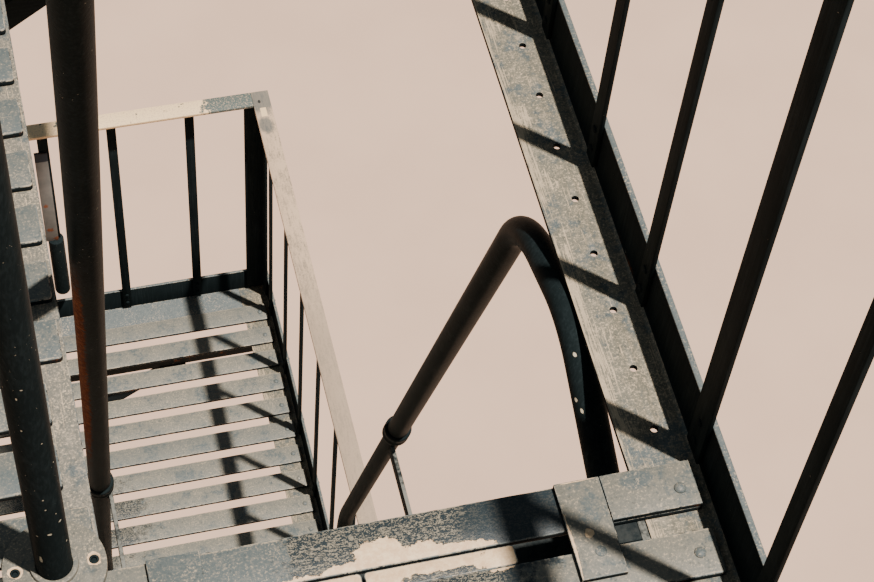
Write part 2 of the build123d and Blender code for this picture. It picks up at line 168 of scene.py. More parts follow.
def endMaterial(material, color, roughness, height, look):
    bump = color.add("Bump", {}, {"Strength": 1.0, "Distance": look["paintStep"], "Height": height})
    shader = color.add("BsdfPrincipled", {}, {
        "Base Color": color, "Roughness": roughness, "Specular IOR Level": look["specular"],
        "Normal": bump,
    })
    color.add("OutputMaterial", {}, {"Surface": shader})
    return material


# paint of the decks: warm grey, bluish where it is thick, navy and cream near the flight

deckLook = {
    "warm": (0.146, 0.133, 0.104),
    "light": (0.240, 0.200, 0.150),
    "bluish": (0.072, 0.084, 0.081),
    "navy": (0.016, 0.023, 0.026),
    "navyFleck": (0.215, 0.178, 0.125),
    "cream": (0.560, 0.360, 0.205),
    "creamLight": (0.700, 0.500, 0.300),
    "scratch": (0.470, 0.350, 0.225),
    "pit": (0.030, 0.029, 0.025),
    # patterns, here and in the other paints: grains a metre, detail, roughness
    "clouds": (14.0, 5.0, 0.62),
    "mottle": (95.0, 6.0, 0.78),
    "fine": (560.0, 2.0, 0.5),
    "speckle": (300.0, 4.0, 0.72),
    "scratches": (400.0, 4.0, 0.65),
    "border": (60.0, 7.0, 0.72),
    "marks": (460.0, 4.0, 0.72),
    "scratchLength": 24.0,  # times their width
    "markLength": 2.2,
    # where each pattern starts to show and where it is full
    "blueLimits": (0.42, 0.33),
    "lightLimits": (0.47, 0.60),
    "pitLimits": (0.445, 0.350),
    "fleckLimits": (0.560, 0.655),
    "edgeChipLimits": (0.0100, 0.0080),  # metres from a slat's edge
    "scratchLimits": (0.86, 0.90),
    "rubbedLimits": (0.55, -0.05),
    "navyFleckLimits": (0.485, 0.555),
    "creamLimits": (0.38, 0.66),
    "blueGain": 0.14,  # how far the bluish and the scratched values of a finish move them
    "scratchGain": 0.12,
    # how much each tone covers; in a pair the second is added for scratched paint
    "lightCover": (0.42, 0.45),
    "fleckCover": (0.45, 0.30),
    "pitCover": 0.55,
    "rowCover": 0.45,
    "edgeChipCover": 0.55,
    "scratchCover": 0.65,
    "navyFleckCover": 0.9,
    "paintedShadowCover": 0.85,
    "slatPitch": 0.089,
    "slatWidth": 0.060,
    "slatStart": 1.104,  # near edge of one slat, which all the others keep step with
    "rubbedWidth": 0.016,
    "paintStep": 0.0006,  # how far the paint stands above what it has peeled from
    "roughness": 0.56,
    "specular": 0.30,
}


def deckPaint(name, along, scratched, bluish, warm=None, light=None, spots=None, slats=False):
    look, spots = deckLook, spots or {}
    material, place = startMaterial(name)
    clouds, mottle, fine, speckle = grains(place, look, "clouds", "mottle", "fine", "speckle")
    scratches = grain(stretched(place, along, look["scratchLength"]), *look["scratches"])
    border = grain(place, *look["border"]) - 0.5
    drift = clouds - 0.5
    blueLimits = shifted(look["blueLimits"], look["blueGain"] * bluish)
    blueShare = rise(clouds * 0.6 + mottle * 0.4, *blueLimits)
    if "blue" in spots:
        blueShare = blueShare.maths("MAXIMUM", ovalSpots(place, spots["blue"], border * 1.2, 0.2))
    color = blendTone(blueShare, warm or look["warm"], look["bluish"])
    lightShare = rise(mottle * 0.45 + fine * 0.2 + speckle * 0.35, *look["lightLimits"])
    smooth, gain = look["lightCover"]
    color = blendTone(lightShare * (smooth + gain * scratched), color, light or look["light"])
    pits = rise(mottle * 0.5 + speckle * 0.5, *look["pitLimits"])
    color = blendTone(pits * look["pitCover"], color, look["pit"])
    flecks = rise(speckle + drift * 0.35, *look["fleckLimits"])
    smooth, gain = look["fleckCover"]
    color = blendTone(flecks * (smooth + gain * scratched), color, look["scratch"])
    if slats:
        halfWidth = look["slatWidth"] / 2
        row = (axisOf(place, 1) - look["slatStart"]) / look["slatPitch"]
        across = row.maths("FRACT") * look["slatPitch"] - halfWidth
        inside = halfWidth - across.maths("ABSOLUTE")
        whiteNoise = {"noise_dimensions": "1D"}
        rowShade = row.add("TexWhiteNoise", whiteNoise, {"W": row.maths("FLOOR")})
        color = blendTone(rowShade * look["rowCover"], color, look["bluish"])
        edgeChips = rise(inside + mottle * 0.014, *look["edgeChipLimits"])
        color = blendTone(edgeChips * look["edgeChipCover"], color, look["scratch"])
    scratchLimits = shifted(look["scratchLimits"], -look["scratchGain"] * scratched)
    scratchShare = rise(scratches + clouds * 0.3, *scratchLimits)
    if "edgeX" in spots:  # rubbed along an edge that runs the landing's length
        offset = (axisOf(place, 0) - spots["edgeX"]) / look["rubbedWidth"]
        rubbed = rise(offset - (scratches - 0.5) * 9.0 - drift * 7.0, *look["rubbedLimits"])
        scratchShare = scratchShare.maths("MAXIMUM", rubbed)
    color = blendTone(scratchShare * look["scratchCover"], color, look["scratch"])
    height = mottle * 0.5 + speckle * 0.25 - scratchShare * 0.15 - pits * 0.2
    roughness = look["roughness"] - lightShare * 0.05
    if "navy" in spots:
        navy = ovalSpots(place, spots["navy"], border * 1.3 + drift * 0.5, 0.10)
        marks = grain(stretched(place, "X", look["markLength"]), *look["marks"])
        fleck = rise(marks * 0.65 + fine * 0.35, *look["navyFleckLimits"])
        # painted shadow: flecks are left out where a shadow lies, so the navy shows darker and
        # smoother there
        if "paintedShadow" in spots:
            paintedShadow = ovalSpots(place, spots["paintedShadow"], border * 0.8, 0.25)
            fleck = fleck * (1 - paintedShadow * look["paintedShadowCover"])
        navyTone = blendTone(fleck * look["navyFleckCover"], look["navy"], look["navyFleck"])
        color = blendTone(navy, color, navyTone)
        height = height + navy * (0.25 - fleck * 0.2)
        roughness = roughness - navy * (0.16 - fleck * 0.16)
    if "peeled" in spots:
        peeled = ovalSpots(place, spots["peeled"], border * 1.35, 0.02)
        creamShare = rise(mottle, *look["creamLimits"])
        color = blendTone(peeled, color, blendTone(creamShare, look["cream"], look["creamLight"]))
        height = (height + 0.5) * (1 - peeled)
        roughness = roughness + peeled * 0.1
    return endMaterial(material, color, roughness, height, look)


rimLook = {
    "thick": (0.120, 0.128, 0.118),
    "worn": (0.300, 0.250, 0.185),
    "dark": (0.022, 0.026, 0.026),
    "mottle": (110.0, 6.0, 0.75),
    "bare": (40.0, 5.0, 0.7),
    "bareLimits": (0.49, 0.56),
    "darkLimits": (0.50, 0.40),
    "paintStep": 0.0009,
    "roughness": 0.5,
    "specular": 0.3,
}


def rimPaint(name):
    look = rimLook
    material, place = startMaterial(name)
    mottle, bare = grains(place, look, "mottle", "bare")
    bare = rise(bare, *look["bareLimits"])
    color = blendTone(bare, look["thick"], look["worn"])
    color = blendTone(rise(mottle, *look["darkLimits"]), color, look["dark"])
    height = mottle - bare * 0.3
    return endMaterial(material, color, look["roughness"], height, look)


# thick near-black paint of the pipes, bars, brackets and guard

darkLook = {
    "paint": (0.0086, 0.0122, 0.0126),
    "brushed": (0.0150, 0.0205, 0.0214),
    "charcoal": (0.0110, 0.0145, 0.0155),
    "dustAndTopLight": (0.165, 0.158, 0.135),
    "chip": (0.50, 0.42, 0.30),
    "rust": (0.060, 0.020, 0.009),
    "rustBright": (0.150, 0.050, 0.018),
    "strokes": (260.0, 4.0, 0.6),
    "clouds": (10.0, 5.0, 0.62),
    "mottle": (130.0, 5.0, 0.72),
    "specks": (230.0, 3.0, 0.65),
    "strokeLength": 30.0,  # times their width
    "strokeLimits": (0.44, 0.66),
    "dustAndTopLightLimits": (0.72, 1.08),
    "rustLimits": (0.66, 0.73),
    "rustBrightLimits": (0.45, 0.62),
    "chipLimits": (0.765, 0.785),
    "rustGain": 0.17,  # how far the rust and the chips values of a finish move them
    "chipGain": 0.12,
    "rustCover": 0.8,
    "paintStep": 0.0007,
    "roughness": 0.62,
    "glossGain": 0.36,
    "specular": 0.006,
}


def darkPaint(
    name, along, gloss, chips, rust=0.0, dustAndTopLightShare=0.0, slope=0.0, charcoal=False, spots=None
):
    look, spots = darkLook, spots or {}
    material, place = startMaterial(name)
    turned = leaning(place, slope) if slope else place
    strokes = grain(stretched(turned, along, look["strokeLength"]), *look["strokes"])
    clouds, mottle, specks = grains(place, look, "clouds", "mottle", "specks")
    drift, shiver = clouds - 0.5, mottle - 0.5
    brushed = rise(strokes * 0.6 + clouds * 0.4, *look["strokeLimits"])
    color = blendTone(brushed, look["charcoal"] if charcoal else look["paint"], look["brushed"])
    facing = axisOf(place.add("NewGeometry", output="Normal"), 2)  # pale dusting and painted light on what faces up
    dustAndTopLight = rise(facing + drift * 1.2 + shiver * 0.8, *look["dustAndTopLightLimits"]) * dustAndTopLightShare
    color = blendTone(dustAndTopLight, color, look["dustAndTopLight"])
    rustLimits = shifted(look["rustLimits"], -look["rustGain"] * rust)
    rustShare = rise(clouds * 0.55 + mottle * 0.45, *rustLimits)
    if "rust" in spots:
        streaks = (strokes - 0.5) * 2.6 + shiver * 1.2
        rustShare = rustShare.maths("MAXIMUM", ovalSpots(place, spots["rust"], streaks, 0.25))
    rustTone = blendTone(rise(mottle, *look["rustBrightLimits"]), look["rust"], look["rustBright"])
    color = blendTone(rustShare * look["rustCover"], color, rustTone)
    chipLimits = shifted(look["chipLimits"], -look["chipGain"] * chips)
    chipShare = rise(specks + drift * 0.25, *chipLimits)
    if "chips" in spots:
        chipShare = chipShare.maths("MAXIMUM", ovalSpots(place, spots["chips"], shiver * 1.6, 0.12))
    color = blendTone(chipShare, color, look["chip"])
    height = strokes * 0.35 + mottle * 0.35 - chipShare * 0.6 + rustShare * 0.25
    smoothness = look["roughness"] - gloss * look["glossGain"]
    roughness = smoothness + rustShare * 0.25 + chipShare * 0.15 + dustAndTopLight * 0.3
    return endMaterial(material, color, roughness, height, look)


# pale paint of the lower landing's rails

railLook = {
    "grey": (0.500, 0.345, 0.225),
    "nearGrey": (0.270, 0.200, 0.142),
    "darkSpeck": (0.185, 0.145, 0.105),
    "cream": (0.720, 0.500, 0.275),
    "blue": (0.072, 0.090, 0.080),
    "streaks": (170.0, 5.0, 0.7),
    "specks": (210.0, 5.0, 0.75),
    "clouds": (12.0, 5.0, 0.65),
    "border": (48.0, 6.0, 0.7),
    "streakLength": 6.0,  # times their width
    "mottleLimits": (0.36, 0.54),
    "creamLimits": (0.60, 0.68),
    "creamEndLimits": (0.36, 0.52),
    "blueFleckLimits": (0.50, 0.68),
    "strayLimits": (0.30, 0.31),
    "nearDarkLimits": (3.45, 3.05),  # along the wall: the rail is darker towards its near end
    "blueLimits": (1.235, 1.241),  # metres from the wall: past this the end rail is blue-grey
    "nearDarkCover": 0.75,
    "shellCover": 0.75,
    "creamCover": 0.6,
    "shellSpots": [
        ((1.405, 3.895, 1.028), (0.040, 0.050, 0.030)),
        ((1.400, 3.800, 1.028), (0.020, 0.030, 0.030)),
    ],
    "patchPlace": (1.403, 3.847, 1.028),
    "patchSize": (0.0085, 0.016, 0.05),
    "dentSpots": [((1.397, 3.887, 1.028), (0.004, 0.006, 0.01))],
    "paintStep": 0.0006,
    "roughness": 0.58,
    "specular": 0.3,
}


def railPaint(name, along, creamEnd=False):
    look = railLook
    material, place = startMaterial(name)
    streaks = grain(stretched(place, along, look["streakLength"]), *look["streaks"])
    specks, clouds, border = grains(place, look, "specks", "clouds", "border")
    border = border - 0.5
    mottled = rise(streaks * 0.45 + specks * 0.35 + clouds * 0.2, *look["mottleLimits"])
    color = blendTone(mottled, look["darkSpeck"], look["grey"])
    height = mottled * 0.4
    if creamEnd:
        creamTone = blendTone(rise(specks, *look["creamEndLimits"]), look["grey"], look["cream"])
        blueTone = blendTone(rise(specks, *look["blueFleckLimits"]), look["blue"], look["grey"])
        blueEnd = rise(axisOf(place, 0) + border * 0.16, *look["blueLimits"])
        stray = rise(border + clouds * 0.3, *look["strayLimits"])
        blueEnd = blueEnd.maths("MAXIMUM", stray)
        color = blendTone(blueEnd, creamTone, blueTone)
        height = height + blueEnd * 0.8
    else:
        # darker towards the rail's near end
        darkerNearEnd = rise(axisOf(place, 1) + border * 0.3, *look["nearDarkLimits"])
        color = blendTone(darkerNearEnd * look["nearDarkCover"], color, look["nearGrey"])
        shell = ovalSpots(place, look["shellSpots"], border * 1.2, 0.3)
        color = blendTone(shell * look["shellCover"], color, deckLook["bluish"])
        cream = rise(clouds * 0.5 + specks * 0.5, *look["creamLimits"]) * look["creamCover"]
        patch = squareSpot(place, look["patchPlace"], look["patchSize"], border * 0.15)
        color = blendTone(cream.maths("MAXIMUM", patch), color, look["cream"])
        dent = ovalSpots(place, look["dentSpots"], border * 0.3)
        color = blendTone(dent, color, deckLook["pit"])
        height = height - patch * 0.5 - dent * 0.6
    return endMaterial(material, color, look["roughness"], height, look)


# where the flight and the post stand

flight = {
    "slope": 1.244 / 3.555,  # how far it goes along for each metre down
    "deckTop": 3.623,
    "axisAtDeck": 1.5885,  # where the handrails' straight run would cross the deck's height
    "nosingAtDeck": 1.154,
    "leftX": 0.739,
    "rightX": 1.328,
}
post = {"x": 0.6415, "y": 1.177, "foot": 3.633, "bend": 0.046, "screwCircle": 0.045}


# ovals where the paint is thick, bruised, peeled or rusty, and ovals of painted shadow, in metres:
# centre and half sizes

def deckSpots(height, depth, *ovals):  # each oval: its place and half sizes along X and Y
    return [((x, y, height), (sizeX, sizeY, depth)) for x, y, sizeX, sizeY in ovals]


def postChips(depth, *ovals):  # each oval: its place, half width and half height
    return [((x, y, z), (width, depth, tall)) for x, y, z, width, tall in ovals]


nearSlatSpots = {
    # painted shadow across the right ends of the first two slats
    "paintedShadow": deckSpots(3.62, 0.06, (1.180, 1.138, 0.075, 0.050), (1.190, 1.050, 0.050, 0.050)),
    "navy": deckSpots(
        3.62, 0.06, (1.020, 1.134, 0.125, 0.070), (1.150, 1.134, 0.110, 0.070),
        (1.060, 1.070, 0.115, 0.085), (0.320, 1.000, 0.160, 0.120), (0.850, 0.300, 0.240, 0.160),
    ),
    "peeled": deckSpots(
        3.62, 0.05, (1.008, 1.108, 0.034, 0.036), (0.972, 1.101, 0.042, 0.017),
        (1.052, 1.106, 0.044, 0.020), (1.100, 1.104, 0.042, 0.014), (1.146, 1.088, 0.030, 0.017),
        (1.080, 1.093, 0.050, 0.009), (0.900, 1.090, 0.085, 0.020), (0.520, 0.860, 0.070, 0.050),
        (0.980, 0.420, 0.090, 0.050),
    ),
    "blue": deckSpots(3.62, 0.05, (0.850, 1.140, 0.080, 0.060)),
}
farSlatSpots = {
    "navy": deckSpots(3.62, 0.06, (1.050, 2.700, 0.250, 0.160), (0.350, 3.300, 0.200, 0.220)),
    "peeled": deckSpots(3.62, 0.05, (1.120, 2.640, 0.080, 0.050), (0.300, 3.360, 0.060, 0.070)),
}
lowerSlatSpots = {
    "navy": deckSpots(0.06, 0.06, (0.950, 0.500, 0.280, 0.300), (0.600, 3.150, 0.300, 0.200)),
    "peeled": deckSpots(0.06, 0.05, (0.880, 0.560, 0.100, 0.060), (0.700, 3.100, 0.080, 0.050)),
}
strapSpots = {
    "blue": deckSpots(3.631, 0.03, (0.774, 1.100, 0.050, 0.100), (1.330, 1.150, 0.020, 0.012)),
    "peeled": [
        *deckSpots(3.631, 0.010, (1.2300, 1.0750, 0.0042, 0.0480)),
        *deckSpots(3.629, 0.006, (1.2545, 1.0930, 0.0060, 0.0070)),
        *deckSpots(3.631, 0.010, (1.2600, 1.1640, 0.0300, 0.0022)),
    ],
}
legSpots = {"edgeX": 1.330}
flangeSpots = {"peeled": deckSpots(post["foot"], 0.012, *(
    (post["x"] + x * post["screwCircle"], post["y"] + y * post["screwCircle"], 0.0086, 0.0086)
    for x, y in ((1, 0), (-1, 0), (0, 1), (0, -1))
))}
postSpots = {
    "chips": [
        *postChips(
            0.0029, (0.6282, 1.1606, 3.6850, 0.0017, 0.0061),
            (0.6425, 1.1559, 3.7469, 0.0024, 0.0019),
        ),
        *postChips(
            0.0022, (0.6429, 1.1559, 3.8024, 0.0011, 0.0011),
            (0.6420, 1.1559, 3.8244, 0.0009, 0.0010),
            (0.6288, 1.1600, 3.7413, 0.0012, 0.0009), (0.6596, 1.1661, 3.7081, 0.0009, 0.0010),
            (0.6560, 1.1617, 3.7634, 0.0016, 0.0014), (0.6531, 1.1594, 3.7849, 0.0008, 0.0009),
            (0.6401, 1.1559, 4.0479, 0.0016, 0.0009), (0.6339, 1.1573, 4.0307, 0.0009, 0.0022),
            (0.6332, 1.1576, 3.9695, 0.0010, 0.0014), (0.6510, 1.1581, 3.9372, 0.0009, 0.0010),
            (0.6593, 1.1657, 3.8839, 0.0008, 0.0009), (0.6626, 1.1758, 3.8247, 0.0009, 0.0010),
        ),
    ],
    "rust": [
        ((0.7205, 1.8105, 2.9318), (0.0085, 0.20, 0.52)),
        ((0.7215, 1.6586, 3.3613), (0.0070, 0.12, 0.30)),
    ],
}
rightRailSpots = {
    "chips": [
        ((1.3069, 1.4494, 3.6123), (0.003, 0.003, 0.003)),
        ((1.3087, 1.4077, 3.6000), (0.002, 0.005, 0.002)),
        ((1.3178, 1.3600, 3.5881), (0.0022, 0.004, 0.002)),
        ((1.3097, 1.3135, 3.5568), (0.002, 0.003, 0.002)),
        ((1.3134, 1.2978, 3.5544), (0.002, 0.004, 0.002)),
    ],
}


# one paint for each kind of piece

passageFinish = deckPaint(
    "passage_slat_paint", "X", scratched=0.10, bluish=0.95, warm=(0.112, 0.108, 0.090),
    light=(0.190, 0.168, 0.132), slats=True,
)
nearFinish = deckPaint("near_slat_paint", "X", 0.25, 0.45, spots=nearSlatSpots, slats=True)
farFinish = deckPaint("far_slat_paint", "X", 0.25, 0.55, spots=farSlatSpots, slats=True)
lowerFinish = deckPaint("lower_slat_paint", "X", 0.25, 0.50, spots=lowerSlatSpots, slats=True)
legFinish = deckPaint(
    "edge_angle_paint", "Y", scratched=0.75, bluish=0.60, warm=(0.122, 0.108, 0.078),
    light=(0.300, 0.238, 0.165), spots=legSpots,
)
bearerFinish = deckPaint(
    "bearer_paint", "Y", scratched=0.90, bluish=0.35, warm=(0.122, 0.110, 0.086),
    light=(0.290, 0.232, 0.170),
)
strapFinish = deckPaint(
    "strap_plate_paint", "X", 0.05, 0.45, (0.124, 0.115, 0.091), spots=strapSpots
)
flangeFinish = deckPaint("flange_paint", "Z", 0.15, 0.45, (0.122, 0.112, 0.088), spots=flangeSpots)
uprightTopFinish = deckPaint(
    "upright_top_paint", "Y", scratched=0.35, bluish=0.95, warm=(0.068, 0.080, 0.079),
    light=(0.150, 0.150, 0.130),
)
rivetFinish = deckPaint("rivet_head_paint", "Z", 0.05, 0.95, (0.085, 0.094, 0.088))
rimFinish = rimPaint("chipped_edge_paint")

lean = math.degrees(math.atan(flight["slope"]))
postFinish = darkPaint("post_and_left_rail_paint", "Z", 0.55, 0.35, slope=lean, spots=postSpots)
rightRailFinish = darkPaint("right_rail_paint", "Z", 0.65, 0.15, slope=lean, spots=rightRailSpots)
lowerRailFinish = darkPaint("lower_rail_paint", "Z", 0.55, 0.15, rust=0.1, slope=lean)
barFinish = darkPaint("guard_bar_paint", "Z", 0.40, 0.10)
frameFinish = darkPaint("bracket_paint", "X", 0.35, 0.35, rust=0.55, dustAndTopLightShare=0.20, charcoal=True)
flightFinish = darkPaint(
    "flight_paint", "Z", 0.40, 0.35, rust=0.40, dustAndTopLightShare=0.12, slope=lean, charcoal=True
)
# the stringers and standoffs are pale on their upward faces: dusting and painted light
stringerFinish = darkPaint(
    "stringer_paint", "Z", 0.40, 0.35, rust=0.30, dustAndTopLightShare=1.00, slope=lean, charcoal=True
)
topRailFinish = darkPaint("top_rail_paint", "Y", 0.40, 0.40, rust=0.25, dustAndTopLightShare=0.60, charcoal=True)
outerRailFinish = railPaint("outer_rail_paint", "Y")
endRailFinish = railPaint("end_rail_paint", "X", creamEnd=True)
print("stage: paints made")


# modelling helpers

def clearSelection():
    if bpy.context.object and bpy.context.object.mode != "OBJECT":
        bpy.ops.object.mode_set(mode="OBJECT")
    bpy.ops.object.select_all(action="DESELECT")


def pick(piece):
    clearSelection()
    piece.select_set(True)
    bpy.context.view_layer.objects.active = piece


def editAll(piece):
    pick(piece)
    bpy.ops.object.mode_set(mode="EDIT")
    bpy.ops.mesh.select_all(action="SELECT")


def joinPieces(pieces):
    clearSelection()
    for piece in pieces:
        piece.select_set(True)
    bpy.context.view_layer.objects.active = pieces[0]
    if len(pieces) > 1:
        bpy.ops.object.join()
    return pieces[0]


def applyPlace():
    bpy.ops.object.transform_apply(location=True, rotation=True, scale=True)


def coat(piece, finishes):
    piece.data.materials.clear()
    for finish in finishes:
        piece.data.materials.append(finish)


def settle(piece, smooth=32):  # place into the mesh, shading, ride
    pick(piece)
    applyPlace()
    bpy.ops.object.shade_smooth_by_angle(angle=math.radians(smooth))
    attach(piece, "root")
    return piece


def applyModifiers(piece):
    pick(piece)
    for modifier in list(piece.modifiers):
        bpy.ops.object.modifier_apply(modifier=modifier.name)


def selectWhere(piece, kind, test):
    bpy.ops.mesh.select_mode(type=kind)
    bpy.ops.mesh.select_all(action="DESELECT")
    shape = bmesh.from_edit_mesh(piece.data)
    for part in shape.faces if kind == "FACE" else shape.edges:
        part.select_set(test(part))
    bmesh.update_edit_mesh(piece.data)


def shadedSidesByFacing(piece):
    # the first finish on what faces up, the second, dark one on sides and undersides as painted
    # shade, the last stays
    last = len(piece.data.materials) - 1
    for face in piece.data.polygons:
        if face.material_index != last:
            face.material_index = 0 if face.normal.z > 0.5 else 1


mergeWithin = 1e-5  # metres: points nearer than this are one


def solidBoxes(node):  # the lowest and highest corner of each separate solid in a CAD node
    shape = bmesh.new()
    shape.from_mesh(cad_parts[node].data)
    bmesh.ops.remove_doubles(shape, verts=shape.verts, dist=mergeWithin)
    boxes = []
    left = set(shape.verts)
    while left:
        wave = [left.pop()]
        island = []
        while wave:
            vert = wave.pop()
            island.append(vert.co.copy())
            for edge in vert.link_edges:
                other = edge.other_vert(vert)
                if other in left:
                    left.discard(other)
                    wave.append(other)
        low = Vector([min(co[i] for co in island) for i in range(3)])
        high = Vector([max(co[i] for co in island) for i in range(3)])
        boxes.append((low, high))
    shape.free()
    return sorted(boxes, key=lambda b: tuple(round(c, 4) for c in (b[0].y, b[0].x, b[0].z)))


paintEdge = {
    "usual": 0.0012,  # radius of the paint on an edge, in metres
    "thick": 0.0014,
    "rail": 0.0015,
    "thin": 0.0010,
    "flange": 0.0008,
    "segments": 2,
    "sharp": 40,  # degrees: edges that turn more than this are rounded
    "flat": 1,  # degrees: faces that turn less than this become one
}


def paintedCopy(node, finishes, edge=paintEdge["usual"]):
    # the CAD solid again, with its edges rounded by thick paint; the last finish is the edges'
    piece = bpy.data.objects.new(node + "_painted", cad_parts[node].data.copy())
    bpy.context.scene.collection.objects.link(piece)
    pick(piece)
    bpy.ops.mesh.customdata_custom_splitnormals_clear()
    editAll(piece)
    bpy.ops.mesh.remove_doubles(threshold=mergeWithin)
    bpy.ops.mesh.dissolve_limited(angle_limit=math.radians(paintEdge["flat"]))
    bpy.ops.object.mode_set(mode="OBJECT")
    coat(piece, finishes)
    rounding = piece.modifiers.new("rounding", "BEVEL")
    rounding.width = edge
    rounding.segments = paintEdge["segments"]
    rounding.limit_method = "ANGLE"
    rounding.angle_limit = math.radians(paintEdge["sharp"])
    rounding.material = len(finishes) - 1
    rounding.use_clamp_overlap = True
    applyModifiers(piece)
    if len(finishes) > 1:
        shadedSidesByFacing(piece)
    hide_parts(node)
    return settle(piece)


# worn paint on top; the sides and undersides take dark paint, which paints shade on them
def deckCopy(node, top, edge=paintEdge["usual"], side=frameFinish, rim=rimFinish):
    return paintedCopy(node, [top, side, rim], edge)


def finishShell(fill=True):  # doubles merged, ends closed, faces outwards
    bpy.ops.mesh.select_all(action="SELECT")
    bpy.ops.mesh.remove_doubles(threshold=mergeWithin)
    if fill:
        bpy.ops.mesh.fill_holes(sides=0)
        bpy.ops.mesh.select_all(action="SELECT")
    bpy.ops.mesh.normals_make_consistent(inside=False)
    bpy.ops.object.mode_set(mode="OBJECT")


def turnedPiece(name, profile, sides):  # a line of (radius, height) points, spun round Z
    clearSelection()
    bpy.ops.mesh.primitive_plane_add(size=0.01, location=(0, 0, 0))
    piece = bpy.context.object
    piece.name = name
    editAll(piece)
    bpy.ops.mesh.select_mode(type="VERT")
    bpy.ops.mesh.merge(type="CENTER")
    bpy.ops.transform.translate(value=(profile[0][0], 0, profile[0][1]))
    for here, there in zip(profile, profile[1:]):
        step = (there[0] - here[0], 0, there[1] - here[1])
        bpy.ops.mesh.extrude_region_move(TRANSFORM_OT_translate={"value": step})
    bpy.ops.mesh.select_all(action="SELECT")
    bpy.ops.mesh.spin(steps=sides, angle=math.tau, center=(0, 0, 0), axis=(0, 0, 1))
    finishShell(fill=False)
    return piece


def standing(point, facing=(0, 0, 1), twist=0.0, scale=1.0):
    turn = Vector(facing).to_track_quat("Z", "Y").to_matrix().to_4x4()
    turn = turn @ Matrix.Rotation(twist, 4, "Z")
    return Matrix.Translation(point) @ turn @ Matrix.Scale(scale, 4)


def scatter(name, master, places, finish):
    # copies of one small piece, each with its own mesh, joined into one piece
    copies = []
    for place in places:
        copy = bpy.data.objects.new(name, master.data.copy())
        bpy.context.scene.collection.objects.link(copy)
        copy.matrix_world = place
        copies.append(copy)
    piece = joinPieces(copies)
    coat(piece, [finish])
    return settle(piece)


# floor slats: each board is shaped at its row, with paint that has run and thickened on its edges

board = {
    "cornerRadius": 0.005,
    "cornerSegments": 3,
    "paintRadius": 0.0014,
    "paintSegments": 2,
    "cellLength": 0.025,
    "rippleSize": 0.035,
    "rippleHeight": 0.0011,  # how far the thick paint swells and sinks
}

ripples = bpy.data.textures.new("paint_ripples", "CLOUDS")
ripples.noise_scale = board["rippleSize"]


def isUpright(way):
    return abs(way.normalized().z) > 0.9


def makeBoard(name, low, high, finishes):
    clearSelection()
    bpy.ops.mesh.primitive_cube_add(size=1, location=(low + high) / 2, scale=high - low)
    piece = bpy.context.object
    piece.name = name
    applyPlace()
    coat(piece, finishes)
    bpy.ops.object.mode_set(mode="EDIT")
    selectWhere(piece, "EDGE", lambda edge: isUpright(edge.verts[1].co - edge.verts[0].co))
    bpy.ops.mesh.bevel(offset=board["cornerRadius"], segments=board["cornerSegments"])
    selectWhere(piece, "FACE", lambda face: isUpright(face.normal))
    bpy.ops.mesh.region_to_loop()
    bpy.ops.mesh.bevel(
        offset=board["paintRadius"], segments=board["paintSegments"], material=len(finishes) - 1
    )
    cuts = round((high.x - low.x) / board["cellLength"])
    for cut in range(1, cuts):
        bpy.ops.mesh.select_all(action="SELECT")
        cutX = low.x + (high.x - low.x) * cut / cuts
        bpy.ops.mesh.bisect(plane_co=(cutX, 0, 0), plane_no=(1, 0, 0))
    bpy.ops.object.mode_set(mode="OBJECT")
    return piece


def layBoards(node, topFinish):
    # painted shade: the slats' sides and undersides take the dark bracket paint
    finishes = [topFinish, frameFinish, rimFinish]
    boards = [makeBoard(node + "_painted", low, high, finishes) for low, high in solidBoxes(node)]
    piece = joinPieces(boards)
    swell = piece.modifiers.new("swell", "DISPLACE")
    swell.texture = ripples
    swell.strength = board["rippleHeight"]
    swell.texture_coords = "LOCAL"
    applyModifiers(piece)
    shadedSidesByFacing(piece)
    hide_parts(node)
    return settle(piece)


layBoards("upper_near_slats", nearFinish)
layBoards("upper_gap_fillers", nearFinish)
layBoards("upper_passage_slats", passageFinish)
layBoards("upper_far_slats", farFinish)
for stretch in ("near", "passage", "far"):
    layBoards(f"lower_{stretch}_slats", lowerFinish)
print("stage: floor slats laid")


# bars, angles and plates: the CAD solids with the paint's rounded, chipped edges

levels = ("lower", "upper")
thick, thin = paintEdge["thick"], paintEdge["thin"]
darkParts = {
    "outer_balusters": barFinish, "end_balusters": barFinish, "guard_posts": barFinish,
    "bracket_bars": frameFinish, "bracket_struts": frameFinish, "wall_plates": frameFinish,
    "rail_plates": frameFinish,
}
for level in levels:
    deckCopy(f"{level}_outer_angle", legFinish, thick)
    deckCopy(f"{level}_end_angles", uprightTopFinish, side=barFinish)
    # the upright's faces take the near-black guard paint as painted shade, its top and rounded
    # edges the pale paint
    deckCopy(f"{level}_outer_upright", uprightTopFinish, thick, barFinish, uprightTopFinish)
    deckCopy(f"{level}_wall_bearer", bearerFinish)
    deckCopy(f"{level}_middle_bearer", bearerFinish)
    paintedCopy(f"{level}_bearer_webs", [frameFinish])
    for part, finish in darkParts.items():
        paintedCopy(f"{level}_{part}", [finish])
paintedCopy("lower_outer_rail", [outerRailFinish], paintEdge["rail"])
paintedCopy("lower_end_rails", [endRailFinish], paintEdge["rail"])
paintedCopy("upper_outer_rail", [topRailFinish])
paintedCopy("upper_end_rails", [topRailFinish])
deckCopy("flight_strap_plates", strapFinish, thin)
for node in ("left_stringer", "right_stringer", "handrail_standoffs"):
    paintedCopy(node, [stringerFinish], thin)
for node in (
    "treads", "tread_clips", "flight_head_lugs", "flight_header_lugs", "flight_foot_lugs",
    "handrail_foot_plates",
):
    paintedCopy(node, [flightFinish], thin)
paintedCopy("lower_hanger_bar", [barFinish])
paintedCopy("post_floor_flange", [flangeFinish], paintEdge["flange"])
print("stage: bars, angles and plates painted")


# handrails in bent pipe

